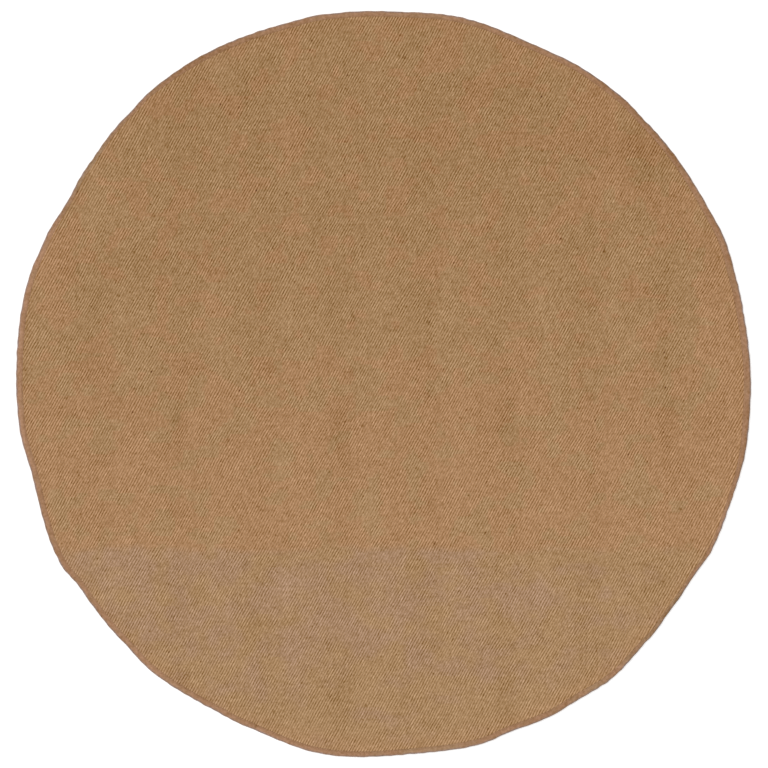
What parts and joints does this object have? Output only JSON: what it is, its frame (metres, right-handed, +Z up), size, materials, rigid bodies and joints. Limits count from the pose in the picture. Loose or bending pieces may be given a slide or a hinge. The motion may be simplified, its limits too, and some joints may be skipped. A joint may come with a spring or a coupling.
{
  "type": "round jute rug",
  "caption": "Round flat-woven twill rug lying flat, its wandering cut edge bound with a narrow folded tape.",
  "frame": {"origin": "on the floor, under the middle of the rug's bounding box", "axes": "+Z up, through the rug's thickness; +Y towards the top of the rug as seen from above, along its longest way across; +X to the right"},
  "size_m": [1.4892, 1.512, 0.0054],
  "materials": {
    "woven_jute": "matte twill weave of coarse jute yarn",
    "binding_tape": "matte narrow woven tape"
  },
  "bodies": {
    "root": {"rug_cloth": "woven_jute", "edge_binding": "binding_tape"}
  },
  "joints": []
}
